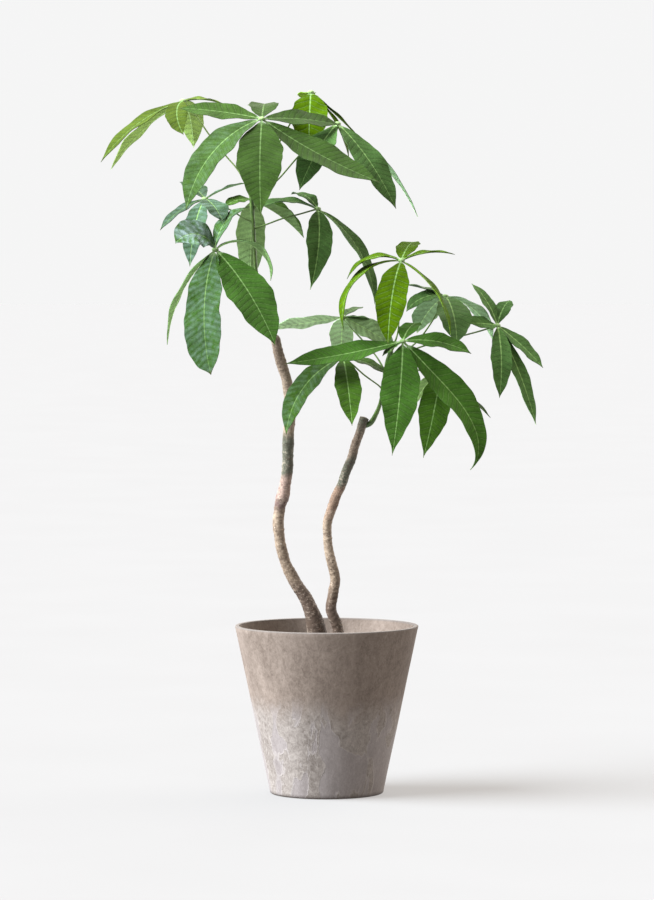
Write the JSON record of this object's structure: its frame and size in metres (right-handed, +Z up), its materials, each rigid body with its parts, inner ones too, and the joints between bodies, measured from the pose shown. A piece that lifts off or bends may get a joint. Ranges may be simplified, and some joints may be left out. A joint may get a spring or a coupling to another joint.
{
  "type": "potted money tree",
  "caption": "Houseplant with bare bent trunks in a tapered stone pot, and hand-shaped leaves of long drooping leaflets on thin green stalks.",
  "frame": {"origin": "centre of the pot's flat base, on the surface it stands on", "axes": "+Z up along the pot's axis, +X to the viewer's right, +Y away from the viewer"},
  "size_m": [0.5796, 0.2896, 0.9218],
  "materials": {
    "pot": "matt mottled grey-beige stone, cloudy vertical streaks",
    "soil": "dark crumbly potting soil",
    "bark": "speckled beige and grey-green bark with growth rings",
    "shoot": "smooth green living stem, slightly glossy",
    "leaf_left_1": "semi-gloss living leaf with pale midribs and quilted side veins",
    "leaf_left_2": "semi-gloss living leaf with pale midribs and quilted side veins",
    "leaf_left_3": "semi-gloss living leaf with pale midribs and quilted side veins",
    "leaf_left_4": "semi-gloss living leaf with pale midribs and quilted side veins",
    "leaf_left_5": "semi-gloss living leaf with pale midribs and quilted side veins",
    "leaf_left_6": "semi-gloss living leaf with pale midribs and quilted side veins",
    "leaf_left_7": "semi-gloss living leaf with pale midribs and quilted side veins",
    "leaf_left_8": "semi-gloss living leaf with pale midribs and quilted side veins",
    "leaf_right_1": "semi-gloss living leaf with pale midribs and quilted side veins",
    "leaf_right_2": "semi-gloss living leaf with pale midribs and quilted side veins",
    "leaf_right_3": "semi-gloss living leaf with pale midribs and quilted side veins",
    "leaf_right_4": "semi-gloss living leaf with pale midribs and quilted side veins",
    "leaf_right_5": "semi-gloss living leaf with pale midribs and quilted side veins",
    "leaf_right_6": "semi-gloss living leaf with pale midribs and quilted side veins",
    "leaf_right_7": "semi-gloss living leaf with pale midribs and quilted side veins"
  },
  "bodies": {
    "root": {"pot": "pot", "soil": "soil", "trunk_left": "bark", "trunk_right": "bark", "shoot_left": "shoot", "shoot_right": "shoot", "leaf_left_1": "leaf_left_1", "leaf_left_2": "leaf_left_2", "leaf_left_3": "leaf_left_3", "leaf_left_4": "leaf_left_4", "leaf_left_5": "leaf_left_5", "leaf_left_6": "leaf_left_6", "leaf_left_7": "leaf_left_7", "leaf_left_8": "leaf_left_8", "leaf_right_1": "leaf_right_1", "leaf_right_2": "leaf_right_2", "leaf_right_3": "leaf_right_3", "leaf_right_4": "leaf_right_4", "leaf_right_5": "leaf_right_5", "leaf_right_6": "leaf_right_6", "leaf_right_7": "leaf_right_7"}
  },
  "joints": []
}
